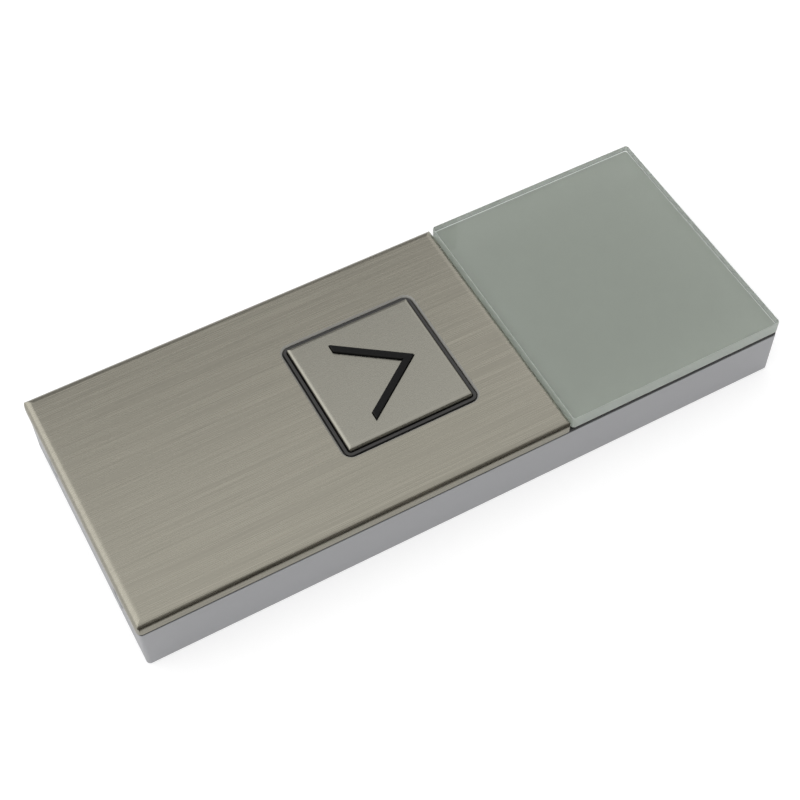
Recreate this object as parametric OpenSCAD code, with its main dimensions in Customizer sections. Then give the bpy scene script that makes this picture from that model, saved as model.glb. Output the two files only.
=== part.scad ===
// Landing call button panel: an aluminium back tray, a brushed steel face with one square
// push button, and a glass tile above it. Millimetres, lying on its back: +X is the right
// side, +Y the upper end and +Z the front, with the origin at the middle of the back face.

/* [Panel] */
// Width of the panel
panel_w = 70.8; // [68:0.2:84]
// Length of the panel
panel_l = 176.6; // [170:0.2:200]
// Gap between moulded or cut pieces that drop into each other
fit_gap = 0.15; // [0.1:0.01:0.25]

/* [Back tray] */
// Height of the tray
tray_h = 14.2; // [14:0.1:20]
// Thickness of the tray's floor
floor_t = 2; // [1.5:0.1:2.5]
// Thickness of the tray's wall below the ledge
wall_t = 2.5; // [2.5:0.1:3.5]
// Width of the ledge that the cover frame sits on
ledge_w = 1; // [0.8:0.1:1.3]
// Depth of the ledge below the tray's rim
ledge_d = 2.2; // [2:0.1:3]
// How far the tray stands back from the edge of the steel face
tray_inset = 0.35; // [0.1:0.05:0.6]
// Corner radius of the tray
tray_corner = 1; // [0.6:0.1:2]
// Radius of the wall screw holes
wall_hole_r = 2.25; // [1.8:0.05:2.6]
// Distance between the two wall screw holes
wall_hole_pitch = 148; // [142:2:156]

/* [Cable entry] */
// Distance of the cable entry from the upper end
cable_drop = 34.3; // [32:0.1:40]
// Radius of the grommet's bore
cable_bore_r = 4.5; // [3:0.1:5]
// Thickness of the grommet's rubber around the bore
grommet_t = 2.2; // [1.8:0.1:3]
// How far the grommet's lips reach past the hole
grommet_lip = 1.8; // [1.2:0.1:2.5]
// Thickness of the inner lip
grommet_lip_t = 1.4; // [1:0.1:2]
// Depth of the recess for the outer lip
grommet_recess = 0.9; // [0.6:0.1:1]

/* [Steel face] */
// Length of the steel face
face_l = 114.4; // [110:0.2:122]
// Thickness of the sheet
face_t = 1.2; // [1:0.1:1.5]
// Radius of the rolled edge
face_roll = 2.4; // [1:0.1:2.8]
// Corner radius seen from the front
face_corner = 1.4; // [0.8:0.1:2.5]
// Shadow gap between the steel face and the tray
face_seam = 0.95; // [0.6:0.05:1.2]

/* [Glass] */
// Thickness of the glass
glass_t = 4; // [3.5:0.1:5]
// Radius of the polished edge
glass_edge = 0.25; // [0.15:0.05:0.8]
// Corner radius of the glass
glass_corner = 0.8; // [0.5:0.1:2]
// Shadow gap under the glass
glass_seam = 1.1; // [0.8:0.05:1.4]
// How far the glass stands back from the edge of the steel face
glass_inset = 0.4; // [0.2:0.05:0.6]
// Gap between the steel face and the glass
split_gap = 0.4; // [0.2:0.05:0.8]
// Thickness of the foam tape under the glass
glass_tape_t = 0.8; // [0.5:0.1:1]
// Distance of the tape from the edge of the cover frame
glass_tape_inset = 3; // [2:0.5:6]

/* [Cover frame] */
// Thickness of the frame's deck and of the ears beside it
deck_t = 2; // [1.6:0.1:2.4]
// Thickness of the frame's walls
frame_t = 1.5; // [1.2:0.1:1.8]
// How far the frame's lip stands back from the tray's outside
lip_inset = 0.1; // [0.05:0.05:0.4]
// Distance of the frame's studs from its inner walls
frame_stud_inset = 4.1; // [3.9:0.1:4.6]
// Distance of the lower studs from the panel's lower end
frame_stud_low = 16; // [14:0.5:20]

/* [Studs and nuts] */
// Radius of the welded studs
stud_r = 1.5; // [1.2:0.05:1.6]
// Clearance around a stud
stud_gap = 0.1; // [0.05:0.01:0.2]
// Length of the studs
stud_l = 5.6; // [5.2:0.1:6]
// Width of the nuts across their flats
nut_af = 5.5; // [5:0.1:5.7]
// Height of the nuts
nut_h = 2.4; // [2:0.1:2.6]
// Radius of the washers
washer_r = 3.5; // [3.1:0.1:3.6]
// Thickness of the washers
washer_t = 0.5; // [0.4:0.05:0.6]

/* [Button] */
// Side of the square hole in the steel face
hole_w = 37.5; // [35:0.5:39]
// Corner radius of the hole
hole_corner = 2.4; // [2:0.1:3]
// Distance from the upper edge of the steel face to the middle of the button
button_drop = 34.2; // [34:0.2:42]
// Gap between the hole and the light ring
ring_gap = 0.7; // [0.3:0.05:0.9]
// Wall of the light ring
ring_t = 0.8; // [0.6:0.05:0.9]
// How far the light ring lies below the steel face
ring_sink = 0.2; // [0.1:0.05:0.5]
// Width of the ring's flange under the face
ring_flange_w = 2.4; // [1.8:0.1:2.6]
// Thickness of the ring's flange
ring_flange_t = 1; // [0.8:0.1:1.2]
// Gap between the light ring and the cap
cap_gap = 0.25; // [0.2:0.05:0.4]
// How far the cap stands above the steel face
cap_proud = 1.1; // [0.3:0.05:1.4]
// Thickness of the cap
cap_t = 2.8; // [1.8:0.1:3.2]
// Radius of the cap's rounded edge
cap_edge = 1.1; // [0.6:0.1:1.4]
// Thickness of the tape that bonds the cap to the plunger
cap_tape_t = 0.25; // [0.2:0.05:0.4]
// How far the button travels when it is pressed
travel = 1; // [0.7:0.05:1.3]

/* [Arrow] */
// Half the width of the arrow over its feet
arrow_half_w = 12.5; // [11:0.1:13.2]
// Height of the arrow's tip above the middle of the button
arrow_tip = 9.8; // [8:0.05:11]
// Depth of the arrow's feet below the middle of the button
arrow_foot = 7.25; // [6:0.05:8]
// Width of the arrow's stroke
arrow_stroke = 1.75; // [1.4:0.05:2.4]
// How far the arrow stands above the cap
arrow_rise = 0.8; // [0.5:0.1:1.6]
// Gap between the arrow and its slot
arrow_gap = 0.08; // [0.05:0.01:0.15]
// Margin of the lens flange around the arrow
lens_margin = 1; // [0.8:0.1:1.4]
// Thickness of the lens flange
lens_flange_t = 1; // [0.8:0.1:1.2]

/* [Button mechanism] */
// Thickness of the plunger's plate
plunger_t = 2.25; // [2:0.05:2.6]
// Gap between the plunger's plate and the light ring
plunger_gap = 0.45; // [0.4:0.05:0.8]
// Radius of the plunger's guide posts
post_r = 2; // [1.8:0.05:2.2]
// Clearance between a guide post and its bore
post_gap = 0.05; // [0.03:0.01:0.08]
// Distance of the posts from the edge of the plunger's plate
post_inset = 5.8; // [5.6:0.1:6.4]
// Length of the post below its clip
post_tip = 0.8; // [0.6:0.05:0.9]
// Depth of the clip's groove in the post
groove_d = 0.5; // [0.4:0.05:0.6]
// Thickness of the retaining clips
clip_t = 0.6; // [0.5:0.05:0.7]
// Radius of the retaining clips
clip_r = 3; // [2.8:0.1:3.3]
// Height left for the return springs
spring_h = 3.3; // [3:0.1:3.6]
// Radius of the spring wire
spring_wire_r = 0.25; // [0.2:0.01:0.28]
// Number of turns of a spring
spring_turns = 3; // [2:1:3]
// Wall of the guide tubes
tube_t = 0.95; // [0.8:0.05:1.1]
// Gap between a spring and its guide tube
spring_gap = 0.3; // [0.2:0.05:0.4]
// Thickness of the button housing's wall beside the ring's flange
well_wall_t = 2.4; // [2:0.1:2.6]
// Thickness of the button housing's floor
well_floor_t = 2; // [1.6:0.1:2.3]
// Gap between the housing's wall and the washers beside it
ear_reach = 0.3; // [0.2:0.05:0.5]
// Radius of the housing's ears
ear_r = 3.5; // [3.2:0.1:3.7]
// Distance of the housing's studs from the middle line
ear_x = 18; // [14:0.5:18.5]

// Distance of the arrow's lights from the middle of the button
light_r = 9.5; // [9:0.1:10]
// Radius of the light holes in the housing's floor
light_hole_r = 2.2; // [1.8:0.1:2.2]
// Half the distance between two lights of one side of the ring
halo_spread = 5; // [4:0.5:6]

/* [Circuit board] */
// Thickness of the circuit board
board_t = 1.6; // [1.2:0.1:1.8]
// Clear height between the button housing and the board
board_drop = 3.3; // [3.1:0.05:3.6]
// Gap between the board's long sides and the tray
board_gap = 1.25; // [0.8:0.05:1.6]
// Length of the board below the middle of the button
board_low = 42; // [41:0.5:44]
// Length of the board above the middle of the button
board_high = 50; // [49:0.5:53]
// Distance of the board's screws from its long sides
board_screw_x = 3; // [3:0.1:4]
// Distance of the board's screws from its ends
board_screw_y = 5.5; // [5:0.1:6.5]
// Radius of the board's screws
board_screw_r = 1.2; // [1:0.05:1.3]
// Clearance around a screw's shank
screw_gap = 0.05; // [0.03:0.01:0.1]
// Height of the board screws' heads
board_head_h = 1.5; // [1.2:0.1:1.6]
// Radius of the board screws' heads
board_head_r = 2.2; // [2:0.1:2.6]
// Depth that the board screws reach into their bosses
board_screw_grip = 4.5; // [3.5:0.1:5]
// Radius of the bosses that carry the board
boss_r = 3; // [2.6:0.1:3.2]
// Height of the switch body
switch_h = 3.5; // [3.3:0.1:3.8]
// Side of the switch body
switch_w = 6; // [5.5:0.1:6.4]
// Height of the switch stem's top above the board
stem_top_h = 4.8; // [4.6:0.1:5]
// Length of the switch stem
stem_l = 2.8; // [2.6:0.1:2.9]
// Radius of the switch stem
stem_r = 1.75; // [1.5:0.05:1.9]
// Gap between the stem and the plunger at rest
touch_gap = 0.05; // [0.03:0.01:0.08]
// Length of a light on the board
led_l = 3; // [2.6:0.1:3.4]
// Width of a light on the board
led_w = 1.4; // [1.2:0.1:1.6]
// Height of a light on the board
led_h = 1; // [0.8:0.1:1.2]
// Number of pins in each bus connector
pin_count = 5; // [4:1:5]
// Distance between the pins
pin_pitch = 2.5; // [2:0.1:2.5]
// Radius of the pins
pin_r = 0.45; // [0.35:0.05:0.5]
// Depth of the bus connectors
plug_l = 8.5; // [7.5:0.1:9]
// Height of the bus connectors
plug_h = 5.4; // [5:0.1:5.5]
// Wall of the bus connectors
plug_wall = 1; // [0.8:0.1:1.2]
// Distance of the bus connectors' middles from the board's long sides
plug_x = 17; // [16.5:0.5:18]
// Side of the controller chip
chip_w = 7; // [6:0.5:8]
// Thickness of the controller chip
chip_h = 1.4; // [1:0.1:1.6]
// Length of the chip's leads past its body
lead_l = 0.9; // [0.6:0.1:1.2]
// Width of the chip's leads
lead_w = 0.4; // [0.3:0.05:0.5]
// Thickness of the chip's leads
lead_t = 0.25; // [0.15:0.05:0.3]
// Number of leads on each side of the chip
lead_count = 8; // [6:1:8]
// Radius of the sounder
sounder_r = 6; // [5:0.1:6.5]
// Height of the sounder
sounder_h = 5.5; // [4.5:0.1:5.7]
// Radius of the sounder's port
port_r = 1.2; // [0.8:0.1:2]
// Depth of the sounder's port
port_d = 1.1; // [0.6:0.1:2]
// Distance of the sounder's middle from the board's left side
sounder_x = 14; // [13.5:0.5:16]
// Radius of the capacitors
capacitor_r = 3.15; // [2.5:0.05:3.3]
// Height of the capacitors
capacitor_h = 5.4; // [4.5:0.1:5.7]
// Distance of the outer capacitor's middle from the board's right side
capacitor_x = 10; // [9.5:0.5:12]
// Distance between the capacitors
capacitor_pitch = 9; // [7:0.5:9]
// Distance of these parts from the board's lower end
parts_inset = 10; // [9:0.5:10.5]

/* [Cover fixing] */
// Distance of the locking screws and the hooks from the panel's long sides
lock_x = 15; // [14:0.5:19]
// Height of the locking screws above the back
lock_z = 9; // [8.5:0.1:9.2]
// Radius of the locking screws
lock_r = 1.45; // [1.2:0.05:1.5]
// Length of the locking screws' shanks
lock_l = 7; // [6:0.1:7.5]
// Radius of the locking screws' heads
lock_head_r = 2.75; // [2.4:0.05:2.8]
// Thickness of the locking screws' heads
lock_head_h = 1.3; // [1.1:0.1:1.4]
// Width of the blocks that the locking screws bite into, and of the hooks
lock_w = 8; // [7:0.1:9]
// Length of the blocks
lock_block_l = 6.5; // [6:0.1:7]
// How far the hooks reach into the tray's wall
hook_reach = 1.4; // [1.2:0.05:1.5]
// Height of the hooks' tongues
hook_h = 2; // [1.6:0.1:2.2]
// Thickness of the hooks' arms
hook_t = 1.8; // [1.6:0.1:2.2]

/* [Hidden] */
$fn = 64;
cut = 1;
hex_sides = 6;

// Levels, from the front down to the board
face_top = tray_h + glass_seam + glass_t;
face_under = face_top - face_t;
skirt_z = tray_h + face_seam;
deck_z = face_under - deck_t;
glass_z = tray_h + glass_seam;
shelf_top = glass_z - glass_tape_t;
ledge_z = tray_h - ledge_d;
lip_z = tray_h + 0.05;
lip_top = skirt_z - fit_gap;
cap_top = face_top + cap_proud;
cap_z = cap_top - cap_t;
arrow_top = cap_top + arrow_rise;
plunger_top = cap_z - cap_tape_t;
plunger_z = plunger_top - plunger_t;
well_top = plunger_z - spring_h;
well_z = well_top - well_floor_t;
stop_gap = 0.05;
clip_z = well_z - stop_gap - clip_t;
clip_play = 0.04;
post_z = clip_z - clip_play - post_tip;
board_top = well_z - board_drop;
board_z = board_top - board_t;
stem_top = board_top + stem_top_h;
stem_z = stem_top - stem_l;
ring_top = face_top - ring_sink;
ring_foot_gap = 0.5;
ring_z = well_top + ring_foot_gap;
flange_z = face_under - ring_flange_t;
nut_z = deck_z - washer_t - nut_h;

// Plan of the tray and of the cover frame
low_y = -panel_l / 2;
high_y = panel_l / 2;
tray_w = panel_w - 2 * tray_inset;
tray_l = panel_l - 2 * tray_inset;
well_w = tray_w - 2 * wall_t;
well_l = tray_l - 2 * wall_t;
mouth_w = well_w + 2 * ledge_w;
mouth_l = well_l + 2 * ledge_w;
frame_w = mouth_w - 2 * fit_gap;
frame_l = mouth_l - 2 * fit_gap;
frame_in_w = frame_w - 2 * frame_t;
frame_in_l = frame_l - 2 * frame_t;
lip_w = tray_w - 2 * lip_inset;
lip_l = tray_l - 2 * lip_inset;
face_high_y = low_y + face_l;
glass_low_y = face_high_y + split_gap;
glass_w = panel_w - 2 * glass_inset;
glass_l = high_y - glass_inset - glass_low_y;
deck_w = panel_w - 2 * face_t - 2 * fit_gap;
deck_low_y = low_y + face_t + fit_gap;
deck_high_y = face_high_y - face_t - fit_gap;
cable_y = high_y - cable_drop;
lock_xs = [lock_x - panel_w / 2, panel_w / 2 - lock_x];

// Plan of the button, about its own middle
button_y = face_high_y - button_drop;
ring_out = hole_w - 2 * ring_gap;
ring_in = ring_out - 2 * ring_t;
ring_mid = (ring_out + ring_in) / 4;
ring_corner = hole_corner - ring_gap;
ring_in_corner = ring_corner - ring_t;
flange_w = ring_out + 2 * ring_flange_w;
flange_pocket = flange_w + 2 * fit_gap;
cap_w = ring_in - 2 * cap_gap;
cap_corner = ring_in_corner - cap_gap;
plunger_w = ring_in - 2 * plunger_gap;
post_x = plunger_w / 2 - post_inset;
case_w = flange_pocket + 2 * well_wall_t;
case_in = hole_w;
ear_y = case_w / 2 + washer_r + ear_reach;
opening_gap = 0.6;
opening_w = case_w + 2 * opening_gap;
ears_w = 2 * (ear_x + ear_r + opening_gap);
ears_l = 2 * (ear_y + ear_r + opening_gap);
bore_r = post_r + post_gap;
tube_r = bore_r + tube_t;
tube_rest_gap = 0.6;
tube_top = plunger_z - travel - tube_rest_gap;
spring_r = tube_r + spring_gap + spring_wire_r;
slot_margin = 0.4;
window_margin = 1.5;
window_w = switch_w + 2 * window_margin;

// Places of what repeats
frame_stud_x = frame_in_w / 2 - frame_stud_inset;
frame_stud_ys = [low_y + frame_stud_low, deck_high_y - frame_t - frame_stud_inset];
frame_studs = [for (x = [-frame_stud_x, frame_stud_x], y = frame_stud_ys) [x, y]];
ear_places = [for (x = [-ear_x, ear_x], y = [-ear_y, ear_y]) [x, y]];
studs = concat(frame_studs, [for (p = ear_places) p + [0, button_y]]);
posts = [for (x = [-post_x, post_x], y = [-post_x, post_x]) [x, y]];
board_w = well_w - 2 * board_gap;
board_low_y = button_y - board_low;
board_high_y = button_y + board_high;
board_holes = [
    for (x = [-1, 1], y = [board_low_y + board_screw_y, board_high_y - board_screw_y])
        [x * (board_w / 2 - board_screw_x), y]
];
plug_w = pin_count * pin_pitch + 2 * plug_wall + pin_pitch;
plug_rear_y = board_high_y - plug_l;
pin_tail = 1.2;
pin_foot = 1;
pin_set_back = 2;
pin_z = board_top + plug_h / 2;
plug_xs = [plug_x - board_w / 2, board_w / 2 - plug_x];
pin_xs = [
    for (x = plug_xs, i = [0 : pin_count - 1]) x + (i - (pin_count - 1) / 2) * pin_pitch
];
parts_y = board_low_y + parts_inset;

// Rectangle with round corners, about its own middle
module rounded(w, l, r) {
    square([w - 2 * r, l], center = true);
    square([w, l - 2 * r], center = true);
    for (x = [-1, 1], y = [-1, 1])
        translate([x * (w / 2 - r), y * (l / 2 - r)]) circle(r);
}

// Side view of a slab with its two upper edges rounded
module edge_profile(span, t, r) {
    translate([-span / 2, 0]) square([span, t - r]);
    translate([r - span / 2, 0]) square([span - 2 * r, t]);
    for (x = [-1, 1])
        translate([x * (span / 2 - r), t - r]) circle(r);
}

// Slab with a rounded upper edge and round corners, standing on z = 0
module soft_slab(w, l, t, edge, corner) {
    intersection() {
        rotate([90, 0, 0]) linear_extrude(l, center = true) edge_profile(w, t, edge);
        rotate([90, 0, 90]) linear_extrude(w, center = true) edge_profile(l, t, edge);
        linear_extrude(t) rounded(w, l, corner);
    }
}

// Upward arrow of even stroke with its feet cut level, widened all round by grow
module arrow_shape(grow) {
    rise = arrow_tip + arrow_foot;
    slant = norm([arrow_half_w, rise]) / arrow_half_w;
    foot_y = -arrow_foot - grow;
    outer_y = arrow_tip + grow * slant;
    inner_y = arrow_tip - (arrow_stroke + grow) * slant;
    outer_x = (outer_y - foot_y) * arrow_half_w / rise;
    inner_x = (inner_y - foot_y) * arrow_half_w / rise;
    polygon([
        [0, outer_y], [outer_x, foot_y], [inner_x, foot_y],
        [0, inner_y], [-inner_x, foot_y], [-outer_x, foot_y]
    ]);
}

// Upright cylinder from one level to another
module rod(r, z0, z1) {
    translate([0, 0, z0]) cylinder(r = r, h = z1 - z0);
}

// Box in the plan, from one level to another, about its own middle
module block(w, l, z0, z1) {
    translate([0, 0, z0]) linear_extrude(z1 - z0) square([w, l], center = true);
}

// Moves what follows to each place of a list
module at(places) {
    for (p = places) translate([p[0], p[1], 0]) children();
}

// Moves what follows to the middle of the button
module at_button() {
    translate([0, button_y, 0]) children();
}

module housing() {
    lock_hole_r = lock_r + 2 * fit_gap;
    lock_head_hole_r = lock_head_r + fit_gap;
    pocket_d = hook_reach + 2 * fit_gap;
    pocket_w = lock_w + 4 * fit_gap;
    pocket_half_h = hook_h / 2 + fit_gap;
    color("silver") difference() {
        linear_extrude(tray_h) rounded(tray_w, tray_l, tray_corner);
        block(well_w, well_l, floor_t, tray_h + cut);
        block(mouth_w, mouth_l, ledge_z, tray_h + cut);
        for (y = [-1, 1])
            translate([0, y * wall_hole_pitch / 2, 0]) rod(wall_hole_r, -cut, floor_t + cut);
        translate([0, cable_y, 0]) {
            rod(cable_bore_r + grommet_t, -cut, floor_t + cut);
            rod(cable_bore_r + grommet_t + grommet_lip, -cut, grommet_recess);
        }
        for (x = lock_xs)
            translate([x, -tray_l / 2, lock_z]) rotate([-90, 0, 0]) {
                rod(lock_hole_r, -cut, wall_t + cut);
                rod(lock_head_hole_r, -cut, lock_head_h);
            }
        for (x = lock_xs)
            translate([x, well_l / 2, lock_z]) block(pocket_w, 2 * pocket_d, -pocket_half_h, pocket_half_h);
    }
}

module cable_grommet() {
    neck_r = cable_bore_r + grommet_t - fit_gap / 2;
    lip_r = cable_bore_r + grommet_t + grommet_lip - fit_gap;
    lip_gap = fit_gap / 2;
    color("dimgray") translate([0, cable_y, 0]) difference() {
        union() {
            rod(neck_r, lip_gap, floor_t + grommet_lip_t);
            rod(lip_r, lip_gap, grommet_recess);
            rod(lip_r, floor_t, floor_t + grommet_lip_t);
        }
        rod(cable_bore_r, -cut, floor_t + grommet_lip_t + cut);
    }
}

// Moulded frame that carries the steel face, the glass and the board, and drops into the tray
module front_frame() {
    deck_l = deck_high_y - deck_low_y;
    shelf_low_y = deck_high_y - frame_t;
    shelf_l = frame_l / 2 - shelf_low_y;
    block_y = -well_l / 2 + fit_gap;
    hook_y = well_l / 2 - fit_gap;
    pilot_r = lock_r + screw_gap;
    color("#26282a") difference() {
        union() {
            translate([0, deck_low_y + deck_l / 2, 0]) block(deck_w, deck_l, deck_z, face_under);
            difference() {
                block(frame_w, frame_l, ledge_z, deck_z);
                block(frame_in_w, frame_in_l, ledge_z - cut, deck_z + cut);
                translate([0, deck_high_y + panel_l / 2, 0]) block(panel_w, panel_l, shelf_top, deck_z + cut);
            }
            difference() {
                translate([0, 0, lip_z]) linear_extrude(lip_top - lip_z)
                    rounded(lip_w, lip_l, tray_corner - lip_inset);
                block(frame_in_w, frame_in_l, lip_z - cut, lip_top + cut);
            }
            translate([0, shelf_low_y + shelf_l / 2, 0]) block(frame_w, shelf_l, ledge_z, shelf_top);
            translate([0, shelf_low_y + frame_t / 2, 0]) block(frame_w, frame_t, ledge_z, face_under);
            at([for (h = board_holes) if (h[1] < button_y) h]) rod(boss_r, board_top, face_under);
            at([for (h = board_holes) if (h[1] > button_y) h]) rod(boss_r, board_top, shelf_top);
            for (x = lock_xs) {
                translate([x, block_y + lock_block_l / 2, 0])
                    block(lock_w, lock_block_l, lock_z - lock_w / 2, face_under);
                translate([x, hook_y - hook_t / 2, 0]) block(lock_w, hook_t, lock_z - hook_h / 2, shelf_top);
                translate([x, hook_y + (hook_reach - hook_t) / 2, 0])
                    block(lock_w, hook_reach + hook_t, lock_z - hook_h / 2, lock_z + hook_h / 2);
            }
        }
        at_button() {
            block(opening_w, opening_w, ledge_z - cut, face_under + cut);
            block(ears_w, ears_l, ledge_z - cut, face_under + cut);
        }
        at(frame_studs) rod(stud_r + stud_gap, deck_z - cut, face_under + cut);
        at(board_holes) rod(board_screw_r + screw_gap, board_top - cut, board_top + board_screw_grip + cut);
        for (x = lock_xs)
            translate([x, block_y, lock_z]) rotate([-90, 0, 0]) rod(pilot_r, -cut, lock_block_l + cut);
    }
}

module face_plate() {
    plate_h = face_top - skirt_z;
    in_corner = max(face_corner - face_t, fit_gap);
    color("#96938a") difference() {
        translate([0, low_y + face_l / 2, skirt_z]) difference() {
            soft_slab(panel_w, face_l, plate_h, face_roll, face_corner);
            translate([0, 0, -cut]) linear_extrude(plate_h - face_t + cut)
                rounded(panel_w - 2 * face_t, face_l - 2 * face_t, in_corner);
        }
        at_button() translate([0, 0, face_under - cut]) linear_extrude(face_t + 2 * cut)
            rounded(hole_w, hole_w, hole_corner);
    }
}

module weld_studs() {
    color("silver") at(studs) rod(stud_r, face_under - stud_l, face_under);
}

module stud_washers() {
    color("silver") at(studs) difference() {
        rod(washer_r, deck_z - washer_t, deck_z);
        rod(stud_r + stud_gap, deck_z - washer_t - cut, deck_z + cut);
    }
}

module stud_nuts() {
    color("silver") at(studs) difference() {
        translate([0, 0, nut_z]) cylinder(r = nut_af / 2 / cos(180 / hex_sides), h = nut_h, $fn = hex_sides);
        rod(stud_r + screw_gap, nut_z - cut, nut_z + nut_h + cut);
    }
}

module glass_tile() {
    color("#8a908a") translate([0, glass_low_y + glass_l / 2, glass_z])
        soft_slab(glass_w, glass_l, glass_t, glass_edge, glass_corner);
}

module glass_tape() {
    tape_low_y = glass_low_y + glass_tape_inset;
    tape_l = frame_l / 2 - glass_tape_inset - tape_low_y;
    color("#303234") translate([0, tape_low_y + tape_l / 2, 0])
        block(frame_w - 2 * glass_tape_inset, tape_l, shelf_top, glass_z);
}

// Square light guide around the button, held by its flange
module halo_ring() {
    color("#4a4b4a") at_button() difference() {
        union() {
            translate([0, 0, ring_z]) linear_extrude(ring_top - ring_z)
                rounded(ring_out, ring_out, ring_corner);
            translate([0, 0, flange_z]) linear_extrude(ring_flange_t)
                rounded(flange_w, flange_w, hole_corner);
        }
        translate([0, 0, ring_z - cut]) linear_extrude(ring_top - ring_z + 2 * cut)
            rounded(ring_in, ring_in, ring_in_corner);
    }
}

module button_cap() {
    color("#939188") at_button() translate([0, 0, cap_z]) difference() {
        soft_slab(cap_w, cap_w, cap_t, cap_edge, cap_corner);
        translate([0, 0, -cut]) linear_extrude(cap_t + 2 * cut) arrow_shape(arrow_gap);
    }
}

module cap_tape() {
    color("#303234") at_button() translate([0, 0, plunger_top]) linear_extrude(cap_tape_t) difference() {
        square(plunger_w, center = true);
        arrow_shape(arrow_gap);
    }
}

module lens_plan(margin) {
    translate([-arrow_half_w - margin, -arrow_foot - margin])
        square([2 * (arrow_half_w + margin), arrow_tip + arrow_foot + 2 * margin]);
}

// Raised arrow with a flange that the cap holds down in the plunger
module arrow_lens() {
    lens_z = plunger_top - lens_flange_t;
    color("#2c2b2a") at_button() translate([0, 0, lens_z]) {
        linear_extrude(lens_flange_t) lens_plan(lens_margin);
        linear_extrude(arrow_top - lens_z) arrow_shape(0);
    }
}

module button_plunger() {
    groove_h = clip_t + 2 * clip_play;
    color("#d8dcdc") at_button() {
        difference() {
            block(plunger_w, plunger_w, plunger_z, plunger_top);
            translate([0, 0, plunger_top - lens_flange_t]) linear_extrude(lens_flange_t + cut)
                lens_plan(lens_margin + fit_gap);
        }
        at(posts) difference() {
            rod(post_r, post_z, plunger_z + plunger_t - lens_flange_t);
            difference() {
                rod(post_r + cut, clip_z - clip_play, clip_z - clip_play + groove_h);
                rod(post_r - groove_d, clip_z - clip_play, clip_z - clip_play + groove_h);
            }
        }
        rod(post_r, stem_top + touch_gap, plunger_z + plunger_t - lens_flange_t);
    }
}

// Open spring clips in the grooves of the guide posts
module retaining_clips() {
    clip_in_r = post_r - groove_d + screw_gap;
    color("silver") at_button() at(posts) difference() {
        rod(clip_r, clip_z, clip_z + clip_t);
        rod(clip_in_r, clip_z - cut, clip_z + clip_t + cut);
        translate([clip_r, 0, 0]) block(2 * clip_r, 2 * clip_in_r, clip_z - cut, clip_z + clip_t + cut);
    }
}

// Case behind the steel face that guides the plunger and holds the light ring
module button_housing() {
    slot_w = ring_t + 2 * slot_margin;
    slot_l = 2 * halo_spread + led_l + 2 * slot_margin;
    color("#e4e4e0") at_button() difference() {
        union() {
            block(case_w, case_w, well_z, face_under);
            at(ear_places) rod(ear_r, deck_z, face_under);
            for (x = [-ear_x, ear_x]) translate([x, 0, 0]) block(2 * ear_r, 2 * ear_y, deck_z, face_under);
        }
        difference() {
            block(case_in, case_in, well_top, face_under + cut);
            at(posts) rod(tube_r, well_top - cut, tube_top);
        }
        block(flange_pocket, flange_pocket, flange_z, face_under + cut);
        at(posts) rod(bore_r, well_z - cut, face_under);
        at(ear_places) rod(stud_r + stud_gap, deck_z - cut, face_under + cut);
        block(window_w, window_w, well_z - cut, well_top + cut);
        for (a = [0 : 90 : 270]) rotate(a) {
            translate([light_r, 0, 0]) rod(light_hole_r, well_z - cut, well_top + cut);
            translate([ring_mid, 0, 0]) block(slot_w, slot_l, well_z - cut, well_top + cut);
        }
    }
}

// Round wire wound about the Z axis with its ends ground flat, from one level to another
module coil(r, wire_r, turns, z0, z1) {
    steps = 3;
    pitch = (z1 - z0) / turns;
    half_turn = 360 * wire_r / pitch;
    angles = [for (i = [-steps : steps]) half_turn * i / steps];
    function half_w(a) = wire_r * sqrt(max(1 - pow(a / half_turn, 2), 0));
    rim = concat(
        [for (i = [0 : 2 * steps]) [angles[i], r + half_w(angles[i])]],
        [for (i = [2 * steps - 1 : -1 : 1]) [angles[i], r - half_w(angles[i])]]
    );
    translate([0, 0, z0])
        linear_extrude(z1 - z0, twist = -360 * turns, slices = 4 * steps * turns, $fn = 4 * steps)
            polygon([for (p = rim) p[1] * [cos(p[0]), sin(p[0])]]);
}

module return_springs() {
    color("silver") at_button() at(posts)
        coil(spring_r, spring_wire_r, spring_turns, well_top + stop_gap, plunger_z - stop_gap);
}

module circuit_board() {
    board_l = board_high_y - board_low_y;
    color("#1f5a3a") difference() {
        translate([0, board_low_y + board_l / 2, 0]) block(board_w, board_l, board_z, board_top);
        at(board_holes) rod(board_screw_r + 2 * screw_gap, board_z - cut, board_top + cut);
        at([for (x = pin_xs) [x, plug_rear_y - pin_tail]])
            rod(pin_r + screw_gap, board_z - cut, board_top + cut);
    }
}

module switch_body() {
    bore_floor = stem_z - travel - screw_gap;
    color("#2b2b2b") at_button() difference() {
        block(switch_w, switch_w, board_top, board_top + switch_h);
        rod(stem_r + post_gap, bore_floor, board_top + switch_h + cut);
    }
}

module switch_stem() {
    color("#c9c4b4") at_button() rod(stem_r, stem_z, stem_top);
}

module light(turn) {
    rotate(turn) block(led_w, led_l, board_top, board_top + led_h);
}

module halo_lights() {
    color("#e8e4c8") at_button() for (a = [0 : 90 : 270], y = [-halo_spread, halo_spread])
        rotate(a) translate([ring_mid, y, 0]) light(0);
}

module arrow_lights() {
    color("#e8e4c8") at_button() for (a = [0 : 90 : 270])
        rotate(a) translate([light_r, 0, 0]) light(90);
}

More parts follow.
